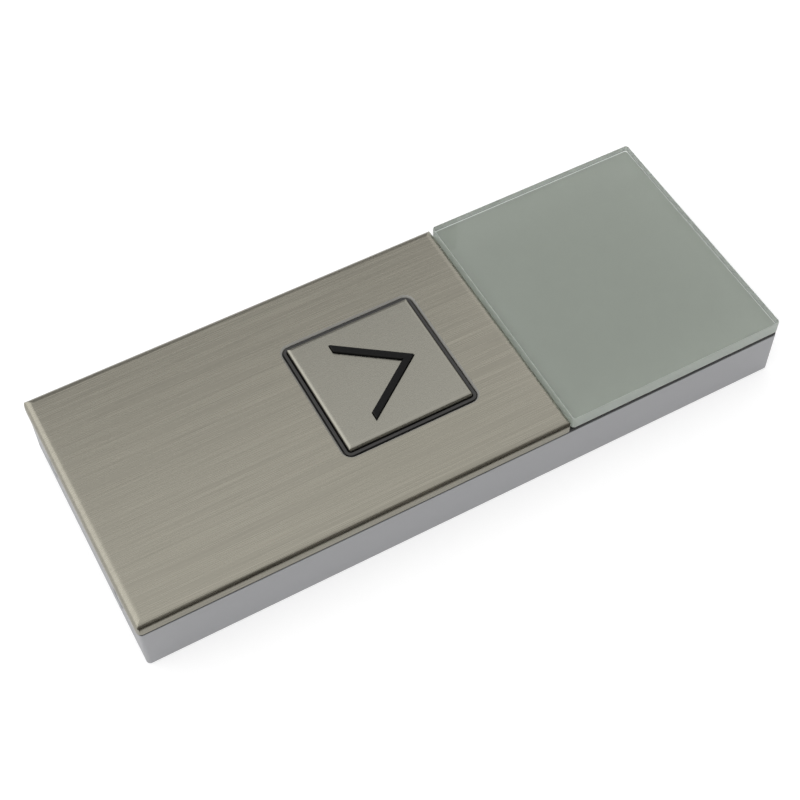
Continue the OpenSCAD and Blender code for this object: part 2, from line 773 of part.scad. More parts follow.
module bus_connectors() {
    cavity_l = plug_l - 2 * plug_wall;
    cavity_w = plug_w - 2 * plug_wall;
    color("#e9e7df") difference() {
        for (x = plug_xs)
            translate([x, plug_rear_y, 0]) difference() {
                translate([0, plug_l / 2, 0]) block(plug_w, plug_l, board_top, board_top + plug_h);
                translate([0, plug_l - cavity_l / 2 + cut / 2, 0])
                    block(cavity_w, cavity_l + cut, board_top + plug_wall, board_top + plug_h - plug_wall);
            }
        for (x = pin_xs)
            translate([x, plug_rear_y, pin_z]) rotate([-90, 0, 0]) rod(pin_r + screw_gap, -cut, plug_l - cut);
    }
}

// Pins that run out of the connectors' backs and down through the board
module connector_pins() {
    color("gold") for (x = pin_xs) translate([x, plug_rear_y - pin_tail, 0]) {
        translate([0, 0, pin_z]) sphere(pin_r);
        rod(pin_r, board_z - pin_foot, pin_z);
        translate([0, 0, pin_z]) rotate([-90, 0, 0]) rod(pin_r, 0, plug_l + pin_tail - pin_set_back);
    }
}

module controller_chip() {
    lead_pitch = chip_w / (lead_count + 1);
    lead_root = lead_l / 2;
    lead_x = (chip_w + lead_l - lead_root) / 2;
    color("#202224") translate([0, parts_y, 0]) {
        block(chip_w, chip_w, board_top + lead_t / 2, board_top + chip_h);
        for (a = [0 : 90 : 270], i = [0 : lead_count - 1])
            rotate(a) translate([lead_x, (i - (lead_count - 1) / 2) * lead_pitch, 0])
                block(lead_l + lead_root, lead_w, board_top, board_top + lead_t);
    }
}

module sounder() {
    color("#202020") translate([sounder_x - board_w / 2, parts_y, 0]) difference() {
        rod(sounder_r, board_top, board_top + sounder_h);
        rod(port_r, board_top + sounder_h - port_d, board_top + sounder_h + cut);
    }
}

module capacitors() {
    outer_x = board_w / 2 - capacitor_x;
    color("#b8bcc0") for (x = [outer_x - capacitor_pitch, outer_x])
        translate([x, parts_y, 0]) rod(capacitor_r, board_top, board_top + capacitor_h);
}

module board_screws() {
    socket_r = board_head_r / 2;
    socket_d = board_head_h / 2;
    color("silver") at(board_holes) difference() {
        union() {
            rod(board_screw_r, board_z, board_top + board_screw_grip);
            rod(board_head_r, board_z - board_head_h, board_z);
        }
        translate([0, 0, board_z - board_head_h - cut])
            cylinder(r = socket_r, h = socket_d + cut, $fn = hex_sides);
    }
}

module locking_screws() {
    socket_r = lock_head_r / 2;
    socket_d = lock_head_h / 2;
    head_z = fit_gap;
    color("silver") for (x = lock_xs)
        translate([x, -tray_l / 2, lock_z]) rotate([-90, 0, 0]) difference() {
            union() {
                rod(lock_head_r, head_z, lock_head_h);
                rod(lock_r, lock_head_h, lock_head_h + lock_l);
            }
            translate([0, 0, head_z - cut]) cylinder(r = socket_r, h = cut + socket_d, $fn = hex_sides);
        }
}

housing();
cable_grommet();
front_frame();
face_plate();
weld_studs();
stud_washers();
stud_nuts();
glass_tile();
glass_tape();
halo_ring();
button_cap();
cap_tape();
arrow_lens();
button_plunger();
retaining_clips();
button_housing();
return_springs();
circuit_board();
switch_body();
switch_stem();
halo_lights();
arrow_lights();
bus_connectors();
connector_pins();
controller_chip();
sounder();
capacitors();
board_screws();
locking_screws();
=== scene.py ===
"""Landing call button panel: its looks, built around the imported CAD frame. All lengths are in metres."""
from math import hypot, pi, radians

import bpy
from mathutils import Matrix, Vector


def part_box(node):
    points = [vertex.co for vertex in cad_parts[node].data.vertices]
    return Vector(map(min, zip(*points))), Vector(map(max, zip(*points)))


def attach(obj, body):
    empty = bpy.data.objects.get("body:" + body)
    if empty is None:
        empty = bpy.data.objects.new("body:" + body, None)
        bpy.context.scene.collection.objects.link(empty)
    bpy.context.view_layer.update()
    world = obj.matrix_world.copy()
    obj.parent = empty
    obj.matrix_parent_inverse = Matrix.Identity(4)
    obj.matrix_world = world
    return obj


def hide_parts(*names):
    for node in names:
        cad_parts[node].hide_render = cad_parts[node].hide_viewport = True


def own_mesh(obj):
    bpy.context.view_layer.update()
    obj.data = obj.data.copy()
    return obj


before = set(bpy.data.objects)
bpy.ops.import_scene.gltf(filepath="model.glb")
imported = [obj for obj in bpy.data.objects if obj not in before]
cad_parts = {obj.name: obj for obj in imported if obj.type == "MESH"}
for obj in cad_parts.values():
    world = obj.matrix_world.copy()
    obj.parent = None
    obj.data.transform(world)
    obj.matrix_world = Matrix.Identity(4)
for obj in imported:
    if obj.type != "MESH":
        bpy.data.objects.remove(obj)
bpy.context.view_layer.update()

MM = 0.001

# Sizes that the boxes of the CAD nodes don't give

# Steel face: the hole's width is at the foot of its broken edge
SHEET = 1.2 * MM
PLATE_ROLL = 2.4 * MM
PLATE_CORNER = 1.4 * MM
SKIRT_SEAM = 0.25 * MM
HOLE_W = 36.9 * MM
HOLE_CORNER = 2.4 * MM
HOLE_BREAK = 0.45 * MM

# Glass tile
GLASS_EDGE = 0.25 * MM
GLASS_FOOT = 0.25 * MM
GLASS_CORNER = 0.9 * MM
PAINT_T = 0.03 * MM

# Light ring
RING_WALL = 0.8 * MM
RING_OUT = 36.1 * MM
RING_CORNER = 1.7 * MM
RING_BREAK = 0.1 * MM
FLANGE_TOP = 18.1 * MM
FLANGE_T = 1 * MM

# Button and its arrow
CAP_EDGE = 1.1 * MM
CAP_CORNER = 0.65 * MM
LENS_FLANGE_T = 1 * MM
ARROW_HALF_W = 12.5 * MM
ARROW_TIP = 9.8 * MM
ARROW_FOOT = 7.25 * MM
ARROW_STROKE = 1.75 * MM
ARROW_GAP = 0.22 * MM
ARROW_BREAK = 0.14 * MM

# Return springs
SPRING_R = 3.55 * MM
SPRING_WIRE_R = 0.25 * MM
SPRING_TURNS = 3

# Tray
TRAY_CORNER = 1 * MM
TRAY_BREAK = 0.25 * MM
TRAY_FLOOR = 2 * MM
TRAY_RIM = 1.5 * MM
TRAY_LEDGE = 1 * MM
LEDGE_D = 2.2 * MM
WALL_HOLE_R = 2.25 * MM
WALL_HOLE_Y = 74 * MM
CABLE_HOLE_R = 6.7 * MM
CABLE_RECESS_R = 8.5 * MM
CABLE_RECESS_D = 0.9 * MM
LOCK_X = 20.4 * MM
LOCK_Z = 9 * MM
LOCK_HOLE_R = 1.75 * MM
LOCK_HEAD_R = 2.9 * MM
LOCK_HEAD_D = 1.3 * MM
TRAY_WALL = 2.5 * MM
HOOK_POCKET_W = 8.6 * MM
HOOK_POCKET_D = 1.7 * MM
HOOK_POCKET_H = 2.3 * MM

# Limits in the modelling: how far a cutter reaches past a face, and how near counts as the same place
PAST = 1 * MM
NEAR = 0.005 * MM
SMOOTH_ANGLE = radians(35)

# How much of a face's normal lies along Z when it faces that way, slopes away from it or is flat
FACING = 0.5
SLOPING = 0.9
FLAT = 0.99

# Segments of edges and sides of round pieces
CHAMFER = 1
ROLL_STEPS = 16
CORNER_STEPS = 8
SQUARE_STEPS = 10
GLASS_STEPS = 8
RING_BREAK_STEPS = 2
TRAY_CORNER_STEPS = 6
TRAY_BREAK_STEPS = 3
ROD_SIDES = 64
WIRE_SIDES = 12
COIL_STEPS = 40


# Modelling steps

def choose(piece):
    bpy.ops.object.select_all(action="DESELECT")
    piece.select_set(True)
    bpy.context.view_layer.objects.active = piece


def settle(name):
    """Names the new piece and puts its place into its mesh."""
    piece = bpy.context.object
    piece.name = name
    piece.data.name = name
    bpy.ops.object.transform_apply(location=True, rotation=True, scale=True)
    return piece


def add_block(name, low, high):
    bpy.ops.object.select_all(action="DESELECT")
    low, high = Vector(low), Vector(high)
    bpy.ops.mesh.primitive_cube_add(size=1, location=(low + high) / 2, scale=high - low)
    return settle(name)


def add_rod(name, radius, start, end):
    bpy.ops.object.select_all(action="DESELECT")
    start, end = Vector(start), Vector(end)
    along = end - start
    turn = along.to_track_quat("Z", "Y").to_euler()
    bpy.ops.mesh.primitive_cylinder_add(
        vertices=ROD_SIDES, radius=radius, depth=along.length, location=(start + end) / 2, rotation=turn)
    return settle(name)


def pick(piece, kind, test):
    """Opens a piece in edit mode with only the points, edges or faces that pass the test selected."""
    choose(piece)
    mesh = piece.data
    for group in (mesh.vertices, mesh.edges, mesh.polygons):
        group.foreach_set("select", [False] * len(group))
    if kind == "VERT":
        for v in mesh.vertices:
            v.select = test(v.co)
    elif kind == "EDGE":
        for e in mesh.edges:
            e.select = test(*(mesh.vertices[i].co for i in e.vertices))
    else:
        for p in mesh.polygons:
            p.select = test(p.center, p.normal)
    bpy.context.tool_settings.mesh_select_mode = (kind == "VERT", kind == "EDGE", kind == "FACE")
    bpy.ops.object.mode_set(mode="EDIT")


def close_edit():
    bpy.ops.object.mode_set(mode="OBJECT")


def upright_at(low, high):
    """Tests for the four upright edges at the outer corners of a block."""
    def at_corner(p):
        from_side = min(abs(p.x - low.x), abs(p.x - high.x))
        from_end = min(abs(p.y - low.y), abs(p.y - high.y))
        return from_side < NEAR and from_end < NEAR
    return lambda a, b: abs(a.z - b.z) > NEAR and at_corner(a) and at_corner(b)


def level(z):
    return lambda a, b: abs(a.z - z) < NEAR and abs(b.z - z) < NEAR


def level_within(z, middle, reach):
    """Tests for edges at a height that lie in a square of the plan."""
    def near(p):
        return abs(p.z - z) < NEAR and max(abs(p.x - middle.x), abs(p.y - middle.y)) < reach
    return lambda a, b: near(a) and near(b)


def round_edges(piece, test, radius, segments):
    pick(piece, "EDGE", test)
    bpy.ops.mesh.bevel(offset=radius, offset_type="OFFSET", segments=segments, profile=0.5, affect="EDGES")
    close_edit()


def mitre_of(low, high, roll):
    """Tests for the edges where the rolls of two sides of a block meet."""
    def as_far(p):
        from_side = min(p.x - low.x, high.x - p.x)
        from_end = min(p.y - low.y, high.y - p.y)
        return abs(from_side - from_end) < NEAR and from_side < roll + NEAR
    return lambda a, b: abs(a.z - b.z) > NEAR and as_far(a) and as_far(b)


def roll_top(piece, low, high, roll, corner):
    """Rolls the top edges of a block, rounds its plan and keeps a crisp line where two rolls meet."""
    round_edges(piece, level(high.z), roll, ROLL_STEPS)
    below, above = low - Vector((0, 0, PAST)), high + Vector((0, 0, PAST))
    outline = add_block("outline", below, above)
    round_edges(outline, upright_at(below, above), corner, CORNER_STEPS)
    combine(piece, outline, "INTERSECT")
    pick(piece, "EDGE", mitre_of(low, high, roll))
    bpy.ops.mesh.mark_sharp()
    close_edit()


def sink_face(piece, test, margin, depth):
    """Insets the chosen face by a margin and pushes it in along Z."""
    pick(piece, "FACE", test)
    bpy.ops.mesh.inset(thickness=margin, use_even_offset=True)
    bpy.ops.mesh.extrude_region_move(TRANSFORM_OT_translate={"value": (0, 0, depth)})
    close_edit()


def combine(piece, tool, how):
    """Cuts a piece with a tool, or joins the two, and deletes the tool."""
    choose(piece)
    step = piece.modifiers.new("step", "BOOLEAN")
    step.operation = how
    step.solver = "EXACT"
    step.object = tool
    bpy.ops.object.modifier_apply(modifier=step.name)
    bpy.data.objects.remove(tool)


def smooth_finish(piece):
    choose(piece)
    bpy.ops.object.shade_smooth_by_angle(angle=SMOOTH_ANGLE)
    step = piece.modifiers.new("step", "WEIGHTED_NORMAL")
    step.keep_sharp = True
    bpy.ops.object.modifier_apply(modifier=step.name)


def rounded_square(name, middle, width, corner, z0, z1):
    """Square block with round upright edges, about a place in the plan."""
    low = Vector((middle.x - width / 2, middle.y - width / 2, z0))
    high = Vector((middle.x + width / 2, middle.y + width / 2, z1))
    block = add_block(name, low, high)
    round_edges(block, upright_at(low, high), corner, SQUARE_STEPS)
    return block


def arrow_block(name, middle, grow, z0, z1):
    """Upward arrow of even stroke: one arm drawn from a plane, thickened and mirrored."""
    rise = ARROW_TIP + ARROW_FOOT
    slant = hypot(ARROW_HALF_W, rise) / ARROW_HALF_W
    foot_y = -ARROW_FOOT - grow
    outer_y = ARROW_TIP + grow * slant
    inner_y = ARROW_TIP - (ARROW_STROKE + grow) * slant
    outer_x = (outer_y - foot_y) * ARROW_HALF_W / rise
    inner_x = (inner_y - foot_y) * ARROW_HALF_W / rise
    corners = {
        (-1, -1): (0, inner_y),
        (1, -1): (inner_x, foot_y),
        (1, 1): (outer_x, foot_y),
        (-1, 1): (0, outer_y),
    }
    bpy.ops.object.select_all(action="DESELECT")
    bpy.ops.mesh.primitive_plane_add(size=2, location=(0, 0, 0))
    arrow = settle(name)
    starts = [v.co.copy() for v in arrow.data.vertices]
    for start in starts:
        x, y = corners[(round(start.x), round(start.y))]
        target = Vector((x, middle.y + y, z0))
        pick(arrow, "VERT", lambda co: (co - start).length < NEAR)
        bpy.ops.transform.translate(value=target - start)
        close_edit()
    pick(arrow, "FACE", lambda c, n: True)
    bpy.ops.mesh.extrude_region_move(TRANSFORM_OT_translate={"value": (0, 0, z1 - z0)})
    close_edit()
    pick(arrow, "FACE", lambda c, n: abs(c.x) < NEAR)
    bpy.ops.mesh.delete(type="ONLY_FACE")
    close_edit()
    step = arrow.modifiers.new("step", "MIRROR")
    step.merge_threshold = NEAR
    bpy.ops.object.modifier_apply(modifier=step.name)
    pick(arrow, "FACE", lambda c, n: True)
    bpy.ops.mesh.normals_make_consistent(inside=False)
    close_edit()
    return arrow


def lay_across(piece):
    """Gives a piece a UV map whose U runs across the brush lines."""
    layer = piece.data.uv_layers.new(name="across")
    for p in piece.data.polygons:
        side = abs(p.normal.x) > max(abs(p.normal.y), abs(p.normal.z))
        end = abs(p.normal.y) > max(abs(p.normal.x), abs(p.normal.z))
        for i in p.loop_indices:
            co = piece.data.vertices[piece.data.loops[i].vertex_index].co
            layer.data[i].uv = (co.z if side else co.x, co.z if end else co.y)


# Materials

# Part of a noise's range that is used
NOISE_LOW = 0.3
NOISE_HIGH = 0.7

# Brush lines: hairs, and streaks that are broader and longer by these factors
HAIR_DEPTH = 3
HAIR_BUMP = 0.12
HAIR_RELIEF = 0.01 * MM
STREAK_W = 6
STREAK_L = 4
STREAK_SHARE = 0.4
STREAK_ROUGH = 0.05

# Even grain, with a mottle that is broader by this factor
FINE_DETAIL = 3.0
GRAIN_BUMP = 0.2
MOTTLE_SIZE = 25
MOTTLE_DETAIL = 2.0
MOTTLE_SHARE = 0.5
MOTTLE_ROUGH = 0.04

# Glass, and the roughness of the floor and the cards
GLASS_TINT = (0.93, 0.97, 0.945, 1)
GLASS_IOR = 1.5
STAGE_ROUGH = 0.9


def start_material(name, **sockets):
    material = bpy.data.materials.new(name)
    material.use_nodes = True
    shader = material.node_tree.nodes["Principled BSDF"]
    for socket, value in sockets.items():
        shader.inputs[socket.replace("_", " ")].default_value = value
    return material, shader


def link(material, output, target):
    material.node_tree.links.new(output, target)


def grain(material, size, detail=FINE_DETAIL):
    """Noise whose grain has a given size along X, Y and Z."""
    nodes = material.node_tree.nodes
    place = nodes.new("ShaderNodeTexCoord")
    scale = nodes.new("ShaderNodeMapping")
    noise = nodes.new("ShaderNodeTexNoise")
    scale.inputs["Scale"].default_value = [1 / s for s in size]
    noise.inputs["Scale"].default_value = 1
    noise.inputs["Detail"].default_value = detail
    link(material, place.outputs["Object"], scale.inputs["Vector"])
    link(material, scale.outputs["Vector"], noise.inputs["Vector"])
    return noise.outputs["Fac"]


def blend_of(material, first, second, share):
    """Weighted sum of two noises, the second with the given share."""
    mix = material.node_tree.nodes.new("ShaderNodeMix")
    mix.inputs[0].default_value = share
    link(material, first, mix.inputs[2])
    link(material, second, mix.inputs[3])
    return mix.outputs[0]


def set_range(ramp, from_min, from_max, to_min, to_max):
    ramp.inputs["From Min"].default_value = from_min
    ramp.inputs["From Max"].default_value = from_max
    ramp.inputs["To Min"].default_value = to_min
    ramp.inputs["To Max"].default_value = to_max


def spread(material, value, low, high):
    """Maps the middle of a noise onto a range."""
    ramp = material.node_tree.nodes.new("ShaderNodeMapRange")
    set_range(ramp, NOISE_LOW, NOISE_HIGH, low, high)
    link(material, value, ramp.inputs["Value"])
    return ramp.outputs["Result"]


def tones(material, value, colour, contrast):
    """Turns a noise into darker and lighter tones of a colour."""
    ramp = material.node_tree.nodes.new("ShaderNodeValToRGB")
    ends = ((NOISE_LOW, 1 - contrast), (NOISE_HIGH, 1 + contrast))
    for element, (position, factor) in zip(ramp.color_ramp.elements, ends):
        element.position = position
        element.color = (*(c * factor for c in colour), 1)
    link(material, value, ramp.inputs["Fac"])
    return ramp.outputs["Color"]


def bump(material, shader, value, strength, height):
    node = material.node_tree.nodes.new("ShaderNodeBump")
    node.inputs["Strength"].default_value = strength
    node.inputs["Distance"].default_value = height
    link(material, value, node.inputs["Height"])
    link(material, node.outputs["Normal"], shader.inputs["Normal"])


def brushed_steel(name, colour, contrast, line_w, line_l, rough, anisotropy):
    """Steel with brush lines along Y: fine hairs over broader streaks."""
    material, shader = start_material(name, Metallic=1.0, Anisotropic=anisotropy)
    hairs = grain(material, (line_w, line_l, line_w * HAIR_DEPTH))
    streaks = grain(material, (line_w * STREAK_W, line_l * STREAK_L, line_w * STREAK_W))
    lines = blend_of(material, hairs, streaks, STREAK_SHARE)
    link(material, tones(material, lines, colour, contrast), shader.inputs["Base Color"])
    sheen = spread(material, lines, rough - STREAK_ROUGH, rough + STREAK_ROUGH)
    link(material, sheen, shader.inputs["Roughness"])
    bump(material, shader, hairs, HAIR_BUMP, HAIR_RELIEF)
    tangent = material.node_tree.nodes.new("ShaderNodeTangent")
    tangent.direction_type = "UV_MAP"
    tangent.uv_map = "across"
    link(material, tangent.outputs["Tangent"], shader.inputs["Tangent"])
    return material


def grained(name, colour, contrast, size, rough, relief, **sockets):
    """Even fine grain in colour, roughness and relief, for castings, mouldings and plated parts."""
    material, shader = start_material(name, **sockets)
    fine = grain(material, (size, size, size))
    broad = grain(material, (size * MOTTLE_SIZE, size * MOTTLE_SIZE, size * MOTTLE_SIZE), MOTTLE_DETAIL)
    mottle = blend_of(material, fine, broad, MOTTLE_SHARE)
    link(material, tones(material, mottle, colour, contrast), shader.inputs["Base Color"])
    sheen = spread(material, mottle, rough - MOTTLE_ROUGH, rough + MOTTLE_ROUGH)
    link(material, sheen, shader.inputs["Roughness"])
    bump(material, shader, fine, GRAIN_BUMP, relief)
    return material


def clear_glass(name, clearness, size, smoothest, roughest):
    """Glass whose smoothness varies over wipe marks or a grain of a given size."""
    material, shader = start_material(
        name, Base_Color=GLASS_TINT, Transmission_Weight=clearness, IOR=GLASS_IOR)
    wipe = grain(material, size)
    link(material, spread(material, wipe, smoothest, roughest), shader.inputs["Roughness"])
    return material


# Steel: colour, contrast, width and length of the lines, roughness, anisotropy. Others: colour,
# contrast, size of the grain, roughness, relief. Glass: clearness, size, smoothest, roughest.
FACE_STEEL = brushed_steel("face_steel", (0.356, 0.339, 0.283), 0.17, 0.16 * MM, 22 * MM, 0.26, 0.55)
CAP_STEEL = brushed_steel("cap_steel", (0.355, 0.344, 0.297), 0.03, 0.09 * MM, 5 * MM, 0.28, 0.3)
CUT_EDGE = grained("cut_edge", (0.33, 0.325, 0.3), 0.06, 0.1 * MM, 0.6, 0.01 * MM, Metallic=0.2)
TRAY_ALUMINIUM = grained(
    "tray_aluminium", (0.45, 0.452, 0.465), 0.03, 0.12 * MM, 0.5, 0.01 * MM, Metallic=0.6)
GLASS = clear_glass("polished_glass", 1.0, (30 * MM, 12 * MM, 30 * MM), 0.0, 0.02)
GROUND_GLASS = clear_glass("ground_glass", 0.88, (0.2 * MM, 0.2 * MM, 0.2 * MM), 0.4, 0.5)
GLASS_PAINT = grained("glass_paint", (0.5, 0.53, 0.477), 0.02, 0.2 * MM, 0.5, 0.002 * MM)
SMOKED_PLASTIC = grained("smoked_plastic", (0.03, 0.029, 0.028), 0.06, 0.3 * MM, 0.35, 0.002 * MM)
ARROW_PLASTIC = grained(
    "arrow_plastic", (0.004, 0.004, 0.004), 0.08, 0.25 * MM, 0.35, 0.003 * MM, Specular_IOR_Level=0.16)
BLACK_PLASTIC = grained("black_plastic", (0.02, 0.02, 0.021), 0.1, 0.2 * MM, 0.55, 0.01 * MM)
WHITE_PLASTIC = grained("white_plastic", (0.78, 0.78, 0.76), 0.03, 0.25 * MM, 0.45, 0.006 * MM)
IVORY_PLASTIC = grained("ivory_plastic", (0.7, 0.66, 0.54), 0.03, 0.2 * MM, 0.4, 0.004 * MM)
MILKY_PLASTIC = grained(
    "milky_plastic", (0.82, 0.85, 0.85), 0.02, 0.3 * MM, 0.3, 0.003 * MM, Transmission_Weight=0.5)
RUBBER = grained("rubber", (0.025, 0.025, 0.026), 0.12, 0.3 * MM, 0.75, 0.02 * MM)
FOAM_TAPE = grained("foam_tape", (0.04, 0.04, 0.042), 0.3, 0.15 * MM, 0.9, 0.03 * MM)
ZINC_PLATE = grained("zinc_plate", (0.62, 0.63, 0.65), 0.06, 0.15 * MM, 0.3, 0.004 * MM, Metallic=1.0)
BRASS = grained("gold_flash", (0.78, 0.58, 0.24), 0.05, 0.1 * MM, 0.25, 0.002 * MM, Metallic=1.0)
CAN_ALUMINIUM = grained("can_aluminium", (0.7, 0.71, 0.72), 0.04, 0.12 * MM, 0.25, 0.003 * MM, Metallic=1.0)
SOLDER_MASK = grained("solder_mask", (0.02, 0.13, 0.05), 0.2, 0.4 * MM, 0.3, 0.006 * MM, Coat_Weight=0.5)
PHOSPHOR = grained("phosphor", (0.82, 0.74, 0.36), 0.08, 0.1 * MM, 0.5, 0.004 * MM)


# Pieces that stand for the nodes that show

def dress(piece, node, material, body="panel"):
    smooth_finish(piece)
    piece.data.materials.append(material)
    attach(piece, body)
    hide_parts(node)


plate_low, plate_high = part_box("face_plate")
glass_low, glass_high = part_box("glass_tile")
ring_low, ring_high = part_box("halo_ring")
cap_low, cap_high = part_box("button_cap")
lens_low, lens_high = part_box("arrow_lens")
tray_low, tray_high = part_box("housing")
cable = sum(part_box("cable_grommet"), Vector()) / 2
button = (cap_low + cap_high) / 2


def make_face_plate():
    """Sheet with rolled edges, hollow behind, with the button's hole and its broken edge."""
    low = plate_low + Vector((0, 0, SKIRT_SEAM))
    plate = add_block("steel_face", low, plate_high)
    sink_face(plate, lambda c, n: n.z < -FACING, SHEET, plate_high.z - low.z - SHEET)
    roll_top(plate, low, plate_high, PLATE_ROLL, PLATE_CORNER)
    hole = rounded_square("hole", button, HOLE_W, HOLE_CORNER, FLANGE_TOP - PAST, plate_high.z + PAST)
    combine(plate, hole, "DIFFERENCE")
    round_edges(plate, level_within(plate_high.z, button, HOLE_W / 2 + NEAR), HOLE_BREAK, CHAMFER)
    lay_across(plate)
    dress(plate, "face_plate", FACE_STEEL)
    plate.data.materials.append(CUT_EDGE)
    reach = HOLE_W / 2 + HOLE_BREAK
    for p in plate.data.polygons:
        from_button = p.center - button
        if abs(p.normal.z) < SLOPING and max(abs(from_button.x), abs(from_button.y)) < reach:
            p.material_index = 1


def make_button_cap():
    cap = add_block("cap", cap_low, cap_high)
    roll_top(cap, cap_low, cap_high, CAP_EDGE, CAP_CORNER)
    slot = arrow_block("slot", button, ARROW_GAP, cap_low.z - PAST, cap_high.z + PAST)
    combine(cap, slot, "DIFFERENCE")
    lay_across(cap)
    dress(cap, "button_cap", CAP_STEEL, "button")


def make_arrow():
    """Raised arrow on the flange that the cap holds down."""
    arrow = arrow_block("arrow", button, 0, lens_low.z, lens_high.z)
    round_edges(arrow, level(lens_high.z), ARROW_BREAK, CHAMFER)
    flange_top = (lens_high.x, lens_high.y, lens_low.z + LENS_FLANGE_T)
    flange = add_block("flange", lens_low, flange_top)
    combine(arrow, flange, "UNION")
    dress(arrow, "arrow_lens", ARROW_PLASTIC, "button")


def make_light_ring():
    ring = rounded_square("light_ring", button, RING_OUT, RING_CORNER, ring_low.z, ring_high.z)
    flange_w = ring_high.x - ring_low.x
    flange = rounded_square("flange", button, flange_w, HOLE_CORNER, FLANGE_TOP - FLANGE_T, FLANGE_TOP)
    combine(ring, flange, "UNION")
    inner_w = RING_OUT - 2 * RING_WALL
    inner = rounded_square(
        "inner", button, inner_w, RING_CORNER - RING_WALL, ring_low.z - PAST, ring_high.z + PAST)
    combine(ring, inner, "DIFFERENCE")
    round_edges(ring, level(ring_high.z), RING_BREAK, RING_BREAK_STEPS)
    dress(ring, "halo_ring", SMOKED_PLASTIC)


def make_glass():
    """Tile with soft ground edges; its flat back is the painted face."""
    foot_z = glass_low.z + PAINT_T
    tile = add_block("glass", (*glass_low.xy, foot_z), glass_high)
    round_edges(tile, upright_at(glass_low, glass_high), GLASS_CORNER, GLASS_STEPS)
    round_edges(tile, level(glass_high.z), GLASS_EDGE, GLASS_STEPS)
    round_edges(tile, level(foot_z), GLASS_FOOT, GLASS_STEPS)
    dress(tile, "glass_tile", GLASS)
    tile.data.materials.append(GLASS_PAINT)
    tile.data.materials.append(GROUND_GLASS)
    for p in tile.data.polygons:
        if p.normal.z < -FLAT:
            p.material_index = 1
        elif p.normal.z < FLAT:
            p.material_index = 2


def make_springs():
    """Four coils under the plunger."""
    low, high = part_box("return_springs")
    reach = SPRING_R + SPRING_WIRE_R
    centre = low + Vector((reach, reach, SPRING_WIRE_R))
    bpy.ops.object.select_all(action="DESELECT")
    bpy.ops.mesh.primitive_circle_add(
        vertices=WIRE_SIDES, radius=SPRING_WIRE_R, location=(SPRING_R, 0, 0), rotation=(pi / 2, 0, 0))
    springs = settle("springs")
    step = springs.modifiers.new("step", "SCREW")
    step.screw_offset = (high.z - low.z - 2 * SPRING_WIRE_R) / SPRING_TURNS
    step.iterations = SPRING_TURNS
    step.steps = COIL_STEPS
    step.render_steps = COIL_STEPS
    bpy.ops.object.modifier_apply(modifier=step.name)
    pick(springs, "EDGE", lambda a, b: True)
    bpy.ops.mesh.fill_holes(sides=0)
    bpy.ops.mesh.normals_make_consistent(inside=False)
    bpy.ops.transform.translate(value=centre)
    close_edit()
    for move in ((-2 * centre.x, 0, 0), (0, 2 * (button.y - centre.y), 0)):
        pick(springs, "FACE", lambda c, n: True)
        bpy.ops.mesh.duplicate_move(TRANSFORM_OT_translate={"value": move})
        close_edit()
    dress(springs, "return_springs", ZINC_PLATE)
    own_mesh(springs)


def make_tray():
    """Tray with a stepped rim, wall screw holes, cable entry, locking screw seats and hook pockets."""
    tray = add_block("tray", tray_low, tray_high)
    sink_face(tray, lambda c, n: n.z > FACING, TRAY_RIM, -LEDGE_D)
    ledge_z = tray_high.z - LEDGE_D

    def on_ledge(c, n):
        return n.z > FACING and abs(c.z - ledge_z) < NEAR

    sink_face(tray, on_ledge, TRAY_LEDGE, TRAY_FLOOR - ledge_z)
    round_edges(tray, upright_at(tray_low, tray_high), TRAY_CORNER, TRAY_CORNER_STEPS)
    round_edges(tray, level(tray_low.z), TRAY_BREAK, TRAY_BREAK_STEPS)
    for side in (-1, 1):
        y = side * WALL_HOLE_Y
        combine(tray, add_rod("tool", WALL_HOLE_R, (0, y, -PAST), (0, y, TRAY_FLOOR + PAST)), "DIFFERENCE")
        x = side * LOCK_X
        end = tray_low.y - PAST
        hole = add_rod("tool", LOCK_HOLE_R, (x, end, LOCK_Z), (x, tray_low.y + TRAY_WALL + PAST, LOCK_Z))
        combine(tray, hole, "DIFFERENCE")
        seat = add_rod("tool", LOCK_HEAD_R, (x, end, LOCK_Z), (x, tray_low.y + LOCK_HEAD_D, LOCK_Z))
        combine(tray, seat, "DIFFERENCE")
        well_y = tray_high.y - TRAY_WALL
        pocket = add_block(
            "tool", (x - HOOK_POCKET_W / 2, well_y - PAST, LOCK_Z - HOOK_POCKET_H / 2),
            (x + HOOK_POCKET_W / 2, well_y + HOOK_POCKET_D, LOCK_Z + HOOK_POCKET_H / 2))
        combine(tray, pocket, "DIFFERENCE")
    for radius, top in ((CABLE_HOLE_R, TRAY_FLOOR + PAST), (CABLE_RECESS_R, CABLE_RECESS_D)):
        combine(tray, add_rod("tool", radius, (0, cable.y, -PAST), (0, cable.y, top)), "DIFFERENCE")
    dress(tray, "housing", TRAY_ALUMINIUM)


make_face_plate()
make_button_cap()
make_arrow()
make_light_ring()
make_glass()
make_springs()
make_tray()

# Nodes whose CAD shape is kept
KEPT = {
    BLACK_PLASTIC: ("front_frame", "switch_body", "controller_chip", "sounder"),
    RUBBER: ("cable_grommet",),
    ZINC_PLATE: (
        "weld_studs", "stud_washers", "stud_nuts", "retaining_clips", "board_screws", "locking_screws"),
    FOAM_TAPE: ("glass_tape", "cap_tape"),
    MILKY_PLASTIC: ("button_plunger",),
    WHITE_PLASTIC: ("button_housing", "bus_connectors"),
    IVORY_PLASTIC: ("switch_stem",),
    SOLDER_MASK: ("circuit_board",),
    PHOSPHOR: ("halo_lights", "arrow_lights"),
    BRASS: ("connector_pins",),
    CAN_ALUMINIUM: ("capacitors",),
}
for material, names in KEPT.items():
    for name in names:
        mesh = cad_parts[name].data
        mesh.materials.clear()
        mesh.materials.append(material)


# Stage

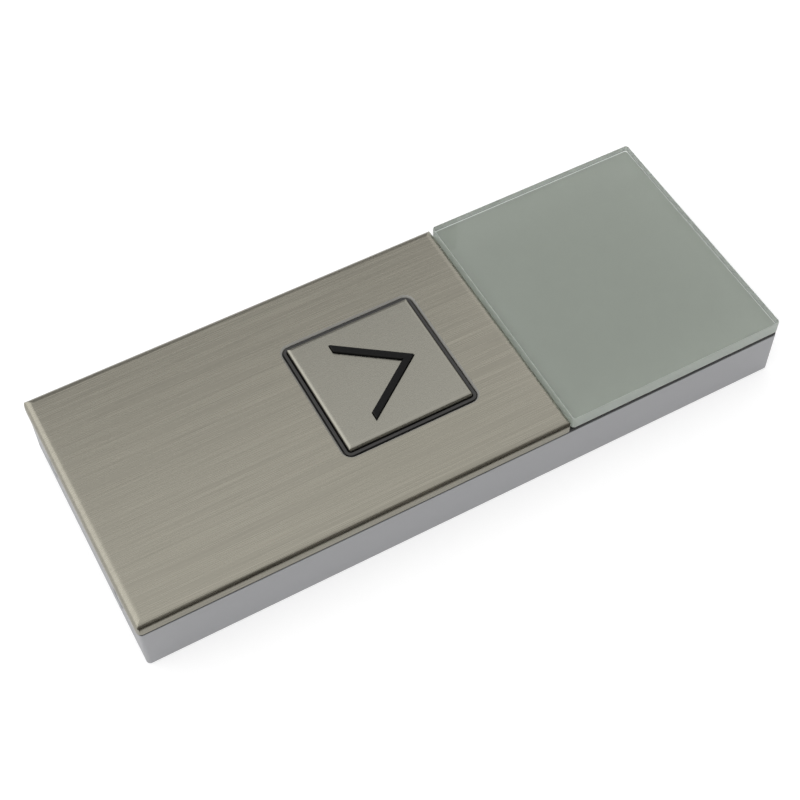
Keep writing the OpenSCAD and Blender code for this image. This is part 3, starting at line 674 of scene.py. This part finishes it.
# Cards for the steel to reflect: place along X, reach along Y, height and colour
CARDS = {
    "card": (67 * MM, -176 * MM, 176 * MM, 18 * MM, (0.026, 0.02, 0.01, 1)),
    "right_screen": (1000 * MM, -1500 * MM, 1500 * MM, 560 * MM, (0.12, 0.112, 0.1, 1)),
    "left_screen": (-1000 * MM, -700 * MM, 620 * MM, 1360 * MM, (0.42, 0.42, 0.42, 1)),
}
CARD_T = 1 * MM

# White ground: its tone in the light, and how strongly it glows for each kind of ray
FLOOR_SIZE = 40
FLOOR_Z = -0.02 * MM
FLOOR_TONE = (0.6, 0.6, 0.6, 1)
FLOOR_GLOW = {"Is Camera Ray": 0.5, "Is Glossy Ray": 0.22, "Is Transmission Ray": 0.25}

# Light of the room: a direction, where the change along it starts and ends, and the two strengths
ROOM_LIGHT = (
    ((0, -1, 0), -0.25, 0.7, 1.0, 1.43),
    ((0, -1, 0), -0.42, -0.2, 0.88, 1.0),
    ((1, 0, 0), -0.45, 0.5, 1.0, 0.88),
)
ROOM_COLOUR = (1, 1, 1, 1)

# Camera at the photograph's viewing angle
CAMERA_PLACE = (0.201172, -0.109153, 0.332006)
CAMERA_AHEAD = (-0.50347, 0.26740, -0.82159)
CAMERA_UP = (-0.71868, 0.39823, 0.57001)
CAMERA_SENSOR = 36
CAMERA_LENS = 70.32
CAMERA_CLIP = 0.01


def make_floor():
    """White ground that keeps the panel's shadow."""
    bpy.ops.object.select_all(action="DESELECT")
    bpy.ops.mesh.primitive_plane_add(size=FLOOR_SIZE, location=(0, 0, FLOOR_Z))
    floor = settle("floor")
    material, shader = start_material("floor", Base_Color=FLOOR_TONE, Roughness=STAGE_ROUGH)
    nodes = material.node_tree.nodes
    rays = nodes.new("ShaderNodeLightPath")
    strength = None
    for kind, share in FLOOR_GLOW.items():
        part = nodes.new("ShaderNodeMath")
        part.operation = "MULTIPLY_ADD"
        part.inputs[1].default_value = share
        part.inputs[2].default_value = 0
        link(material, rays.outputs[kind], part.inputs[0])
        if strength:
            link(material, strength, part.inputs[2])
        strength = part.outputs[0]
    glow = nodes.new("ShaderNodeEmission")
    total = nodes.new("ShaderNodeAddShader")
    link(material, strength, glow.inputs["Strength"])
    link(material, shader.outputs["BSDF"], total.inputs[0])
    link(material, glow.outputs["Emission"], total.inputs[1])
    link(material, total.outputs[0], nodes["Material Output"].inputs["Surface"])
    floor.data.materials.append(material)


def make_world():
    """Soft pale room: brightest beyond the lower end, duller beyond the upper end and on the right."""
    world = bpy.data.worlds.new("room")
    bpy.context.scene.world = world
    world.use_nodes = True
    nodes = world.node_tree.nodes
    place = nodes.new("ShaderNodeTexCoord")
    light = None
    for towards, start, full, low, high in ROOM_LIGHT:
        dot = nodes.new("ShaderNodeVectorMath")
        dot.operation = "DOT_PRODUCT"
        dot.inputs[1].default_value = Vector(towards)
        ramp = nodes.new("ShaderNodeMapRange")
        ramp.interpolation_type = "SMOOTHSTEP"
        set_range(ramp, start, full, low, high)
        link(world, place.outputs["Generated"], dot.inputs[0])
        link(world, dot.outputs["Value"], ramp.inputs["Value"])
        strength = ramp.outputs["Result"]
        if light:
            both = nodes.new("ShaderNodeMath")
            both.operation = "MULTIPLY"
            link(world, light, both.inputs[0])
            link(world, strength, both.inputs[1])
            strength = both.outputs[0]
        light = strength
    link(world, light, nodes["Background"].inputs["Strength"])
    nodes["Background"].inputs["Color"].default_value = ROOM_COLOUR


def make_cards():
    """Cards beside the panel, out of the camera's sight: dark on the right, grey on the left."""
    for name, (x, low_y, high_y, height, colour) in CARDS.items():
        card = add_block(name, (x, low_y, 0), (x + CARD_T, high_y, height))
        card.data.materials.append(start_material(name, Base_Color=colour, Roughness=STAGE_ROUGH)[0])
        card.visible_camera = False
        card.visible_diffuse = False
        card.visible_shadow = False


def make_camera():
    ahead = Vector(CAMERA_AHEAD).normalized()
    right = ahead.cross(Vector(CAMERA_UP)).normalized()
    up = right.cross(ahead)
    bpy.ops.object.camera_add()
    camera = bpy.context.object
    turn = Matrix((right, up, -ahead)).transposed().to_4x4()
    camera.matrix_world = Matrix.Translation(CAMERA_PLACE) @ turn
    camera.data.sensor_width = CAMERA_SENSOR
    camera.data.lens = CAMERA_LENS
    camera.data.clip_start = CAMERA_CLIP
    bpy.context.scene.camera = camera


make_floor()
make_world()
make_cards()
make_camera()
bpy.context.scene.view_settings.view_transform = "Standard"
